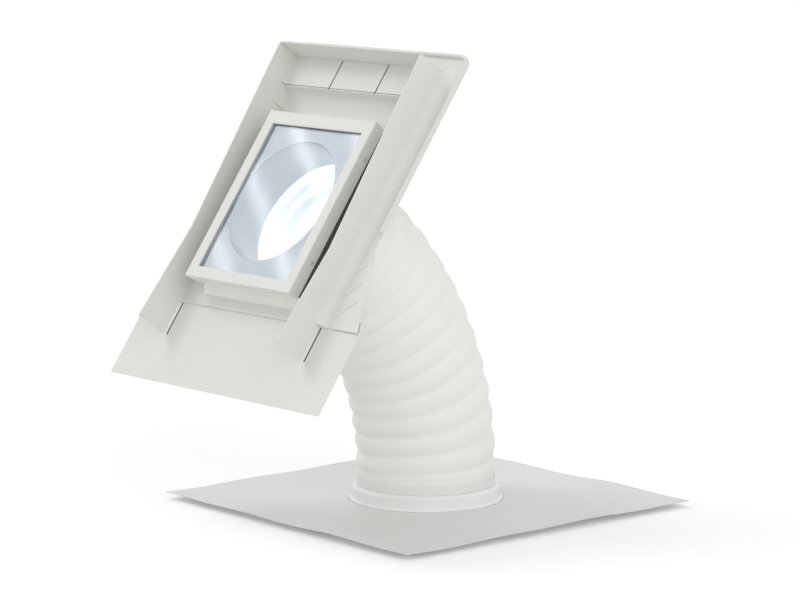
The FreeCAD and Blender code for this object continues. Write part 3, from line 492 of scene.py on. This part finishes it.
# The tube's silvered lining has a painted glow that stands in for daylight carried down the tube.
silver_lining_painted_glow = bright_sheet("silver_lining_painted_glow", (0.95, 0.955, 0.96), roughness=0.3, painted_glow=0.26)
tube_piece = show("flexible_tube", tube, [film_coat, silver_lining_painted_glow])
wall = tube_piece.modifiers.new("wall", "SOLIDIFY")
wall.thickness = FILM_WALL
wall.offset = -1
wall.material_offset = 1


# Top ring and its rivets: a rolled strip round the tube's upper end, its lip turned out against the
# roof and its ends lapped and riveted. It is coated sheet, a little greyer than the tube.
ring_coat = moulded("ring_coat", (0.78, 0.78, 0.75), roughness=0.42, grain=700, grain_depth=0.00005)
show_softened("tube_top_ring", ring_coat, rounding=0.0005)
show_softened("lap_rivets", screw_steel, rounding=0.0002)


# Clamp band and collar: the collar is stiff translucent film welded to the sheet and drawn in at
# its top, and the band is a plain plastic strap that holds it and the tube on the ceiling ring.
COLLAR_WHITE = (0.95, 0.955, 0.945)
collar_film, shade, place = new_finish("collar_film")
clouds = speckle(shade, place, scale=11)
ripples = speckle(shade, place, scale=38)
surface = shade.node("ShaderNodeBsdfPrincipled", sockets={
    "Base Color": tint(shade, clouds, *tones(COLLAR_WHITE, deep=0.97, pale=1.02)),
    "Roughness": 0.32 + ripples * 0.14,
    "Normal": relief(shade, ripples, depth=0.0006),
    "Subsurface Weight": 0.25,
    "Subsurface Radius": (0.006, 0.006, 0.007),
    "Subsurface Scale": 1.0,
})
put_on(shade, surface)
show_softened("vapour_collar", collar_film, rounding=0.0005)
band_skin = moulded("band_skin", (0.84, 0.84, 0.82), roughness=0.4, grain=900, grain_depth=0.00006)
show_softened("clamp_band", band_skin, rounding=0.0008, steps=3)


# Vapour sheet: a square of tough film that lies on the ceiling with a hole for the ring. It was
# rolled up in its box, so its free edges lift and dip a little.
SHEET_SIDE = 1.0
HOLE_RADIUS = 0.2
HOLE_ZONE = SHEET_SIDE / 3
CELLS = 120
FLAT_SHARE = 0.55
LOOSE_SHARE = 0.45
EDGE_LIFT = 0.0038
MEAN_LIFT = 0.35
SWING = 0.6
SWING_RATES = (11, 7)
SWING_STARTS = (2.1, 0.6)
FLUTTER = 0.36
FLUTTER_RATE = 19
FLUTTER_START = 0.9
SHEET_WHITE = (0.77, 0.77, 0.76)
sheet_low, sheet_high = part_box("vapour_sheet")
sheet_level = (sheet_low.z + sheet_high.z) / 2
sheet = bmesh.new()
bmesh.ops.create_grid(sheet, x_segments=CELLS, y_segments=CELLS, size=SHEET_SIDE / 2)
hole = [point for point in sheet.verts if point.co.length < HOLE_RADIUS]
bmesh.ops.delete(sheet, geom=hole, context="VERTS")
for point in sheet.verts:
    if point.is_boundary and point.co.length < HOLE_ZONE:
        point.co = point.co.normalized() * HOLE_RADIUS
    x, y, _ = point.co
    loose = max(max(abs(x), abs(y)) / (SHEET_SIDE / 2) - FLAT_SHARE, 0) / LOOSE_SHARE
    swing = sin(SWING_RATES[0] * x + SWING_STARTS[0]) * cos(SWING_RATES[1] * y - SWING_STARTS[1])
    flutter = sin(FLUTTER_RATE * (x - y) + FLUTTER_START)
    lift = EDGE_LIFT * loose * loose * (MEAN_LIFT + SWING * swing + FLUTTER * flutter)
    point.co.z = sheet_level + lift
bmesh.ops.recalc_face_normals(sheet, faces=sheet.faces)

sheet_film, shade, place = new_finish("sheet_film")
clouds = speckle(shade, place, scale=4)
ripples = speckle(shade, place, scale=14, detail=2)
weave = speckle(shade, place, scale=650, detail=1)
surface = shade.node("ShaderNodeBsdfPrincipled", sockets={
    "Base Color": tint(shade, clouds, *tones(SHEET_WHITE, deep=0.97, pale=1.03)),
    "Roughness": 0.4 + ripples * 0.16,
    "Normal": relief(shade, ripples * 0.9 + weave * 0.1, depth=0.0016),
    "Specular IOR Level": 0.4,
})
put_on(shade, surface)
sheet_piece = show("vapour_sheet", sheet, [sheet_film])
film_wall = sheet_piece.modifiers.new("film_wall", "SOLIDIFY")
film_wall.thickness = sheet_high.z - sheet_low.z
film_wall.offset = 0


# Ceiling ring: light grey moulding with a flange under the ceiling, a step in the ceiling's hole
# and a slotted wall whose four sprung fingers hold the tube.
RING_GREY = (0.72, 0.725, 0.71)
ring_skin = moulded("ring_skin", RING_GREY, roughness=0.38, grain=1000, grain_depth=0.00006)
show_softened("ceiling_ring", ring_skin, rounding=0.0005)


# Diffuser: a clear acrylic pan under the ring with a second pane above it, on a foam seal. Both
# panes are pale cyan and lightly rippled, so they spread the daylight.
seal_foam = moulded("seal_foam", (0.22, 0.22, 0.22), roughness=0.8, grain=500, grain_depth=0.0004)
show_softened("diffuser_seal", seal_foam, rounding=0.0003)
outer_acrylic = clear_sheet("outer_acrylic", (0.90, 0.98, 1.0), roughness=0.05, ripple=0.002)
inner_acrylic = clear_sheet("inner_acrylic", (0.94, 0.99, 1.0), roughness=0.12, ripple=0.002)
show_softened("diffuser_pane", outer_acrylic, rounding=0.0005)
show_softened("diffuser_inner_pane", inner_acrylic, rounding=0.0005)


# Studio: a white floor that keeps the soft shadow, even light from a white sky and two broad lamps
# at the upper left and the right, and one banded panel that the glass mirrors as soft streaks.
def seen_straight(shade):
    """One for what the camera sees, straight, mirrored or through glass, and nought for the rest."""
    camera, glossy, passed = [shade.node("ShaderNodeLightPath", output=kind)
                              for kind in ("Is Camera Ray", "Is Glossy Ray", "Is Transmission Ray")]
    return shade.maths("MAXIMUM", shade.maths("MAXIMUM", camera, glossy), passed)


FLOOR_HALF = 60
FLOOR_GAP = 0.0005
FLOOR_GLOW = 0.22
floor = bmesh.new()
bmesh.ops.create_grid(floor, x_segments=1, y_segments=1, size=FLOOR_HALF)
bmesh.ops.translate(floor, verts=floor.verts, vec=(0, 0, cad_box[0][2] - FLOOR_GAP))
floor_mesh = bpy.data.meshes.new("floor")
floor.to_mesh(floor_mesh)
floor.free()
floor_paper, shade, _ = new_finish("floor_paper")
paper = shade.node("ShaderNodeBsdfDiffuse", sockets={"Color": (0.9, 0.9, 0.9, 1)})
glow = shade.node("ShaderNodeEmission", sockets={
    "Color": (1, 1, 1, 1), "Strength": seen_straight(shade) * FLOOR_GLOW})
put_on(shade, shade.node("ShaderNodeAddShader", sockets={0: paper, 1: glow}))
floor_mesh.materials.append(floor_paper)
floor_object = bpy.data.objects.new("floor", floor_mesh)
bpy.context.scene.collection.objects.link(floor_object)

SKY_LIGHT = 0.7
sky = bpy.data.worlds.new("white_sky")
sky.use_nodes = True
sky.node_tree.nodes.clear()
shade = Shade(sky.node_tree)
sky_light = shade.node("ShaderNodeBackground", sockets={
    "Color": (1, 1, 1, 1), "Strength": SKY_LIGHT + seen_straight(shade) * (1 - SKY_LIGHT)})
shade.node("ShaderNodeOutputWorld", sockets={"Surface": sky_light})
bpy.context.scene.world = sky

LAMPS = {
    "left_lamp": {"towards": (-0.45, -0.4, 0.8), "energy": 0.55, "spread": radians(25)},
    "right_lamp": {"towards": (0.87, -0.3, 0.4), "energy": 0.52, "spread": radians(45)},
}
for name, values in LAMPS.items():
    lamp = bpy.data.lights.new(name, "SUN")
    lamp.energy = values["energy"]
    lamp.angle = values["spread"]
    lamp_object = bpy.data.objects.new(name, lamp)
    lamp_object.rotation_euler = Vector(values["towards"]).to_track_quat("Z", "Y").to_euler()
    bpy.context.scene.collection.objects.link(lamp_object)

GLASS_MIDDLE = Vector((0, -0.496, 0.857))
TO_PANEL = Vector((-0.776, -0.320, 0.543))
PANEL_AWAY = 3.0
PANEL_HALF = 0.8
PANEL_SLANT = radians(80)
STREAK_GAP = 0.1975
STREAK_PLACE = 0.128
STREAK_LIGHT = 2.0
STREAK_POWER = 3
FADE_START = 0.2
WAVE_NODE_RATE = 20
panel = bmesh.new()
bmesh.ops.create_grid(panel, x_segments=1, y_segments=1, size=PANEL_HALF)
panel_mesh = bpy.data.meshes.new("streak_panel")
panel.to_mesh(panel_mesh)
panel.free()
panel_light, shade, place = new_finish("panel_light")
wave_scale = 2 * pi / (WAVE_NODE_RATE * STREAK_GAP)
first_streak = pi - WAVE_NODE_RATE * wave_scale * STREAK_PLACE
bands = shade.node("ShaderNodeTexWave", {"wave_profile": "SIN"}, {
    "Vector": place, "Scale": wave_scale, "Phase Offset": first_streak})
edge = shade.node("ShaderNodeVectorMath", {"operation": "LENGTH"}, {"Vector": place}, "Value")
fade = shade.node("ShaderNodeMapRange", {"interpolation_type": "SMOOTHSTEP"}, {
    "Value": edge, "From Min": FADE_START, "From Max": PANEL_HALF, "To Min": 1.0, "To Max": 0.0})
streaks = shade.maths("POWER", bands, STREAK_POWER)
glow = shade.node("ShaderNodeEmission", sockets={
    "Color": (1, 1, 1, 1), "Strength": streaks * fade * STREAK_LIGHT})
clear = shade.node("ShaderNodeBsdfTransparent")
put_on(shade, shade.node("ShaderNodeAddShader", sockets={0: clear, 1: glow}))
panel_mesh.materials.append(panel_light)
panel_object = bpy.data.objects.new("streak_panel", panel_mesh)
facing = TO_PANEL.to_track_quat("Z", "Y").to_matrix().to_4x4()
slanted = facing @ Matrix.Rotation(PANEL_SLANT, 4, "Z")
panel_object.matrix_world = Matrix.Translation(GLASS_MIDDLE + TO_PANEL * PANEL_AWAY) @ slanted
panel_object.visible_camera = False
panel_object.visible_diffuse = False
bpy.context.scene.collection.objects.link(panel_object)


# Camera: the photograph's side and distance and nearly its height, with a longer lens so that the
# assembled skylight fills the picture as its pieces did.
YAW = radians(49.3)
TILT = radians(8.4)
DISTANCE = 8.624
LENS = 146.6
SENSOR = 36
AIM = Vector((0.014, -0.104, 0.561))
back = Vector((sin(YAW) * cos(TILT), -cos(YAW) * cos(TILT), sin(TILT)))
right = Vector((cos(YAW), sin(YAW), 0))
up = back.cross(right)
camera = bpy.data.cameras.new("camera")
camera.lens = LENS
camera.sensor_width = SENSOR
camera_object = bpy.data.objects.new("camera", camera)
turned = Matrix((right, up, back)).transposed().to_4x4()
camera_object.matrix_world = Matrix.Translation(AIM + back * DISTANCE) @ turned
bpy.context.scene.collection.objects.link(camera_object)
bpy.context.scene.camera = camera_object
bpy.context.scene.view_settings.view_transform = "Standard"
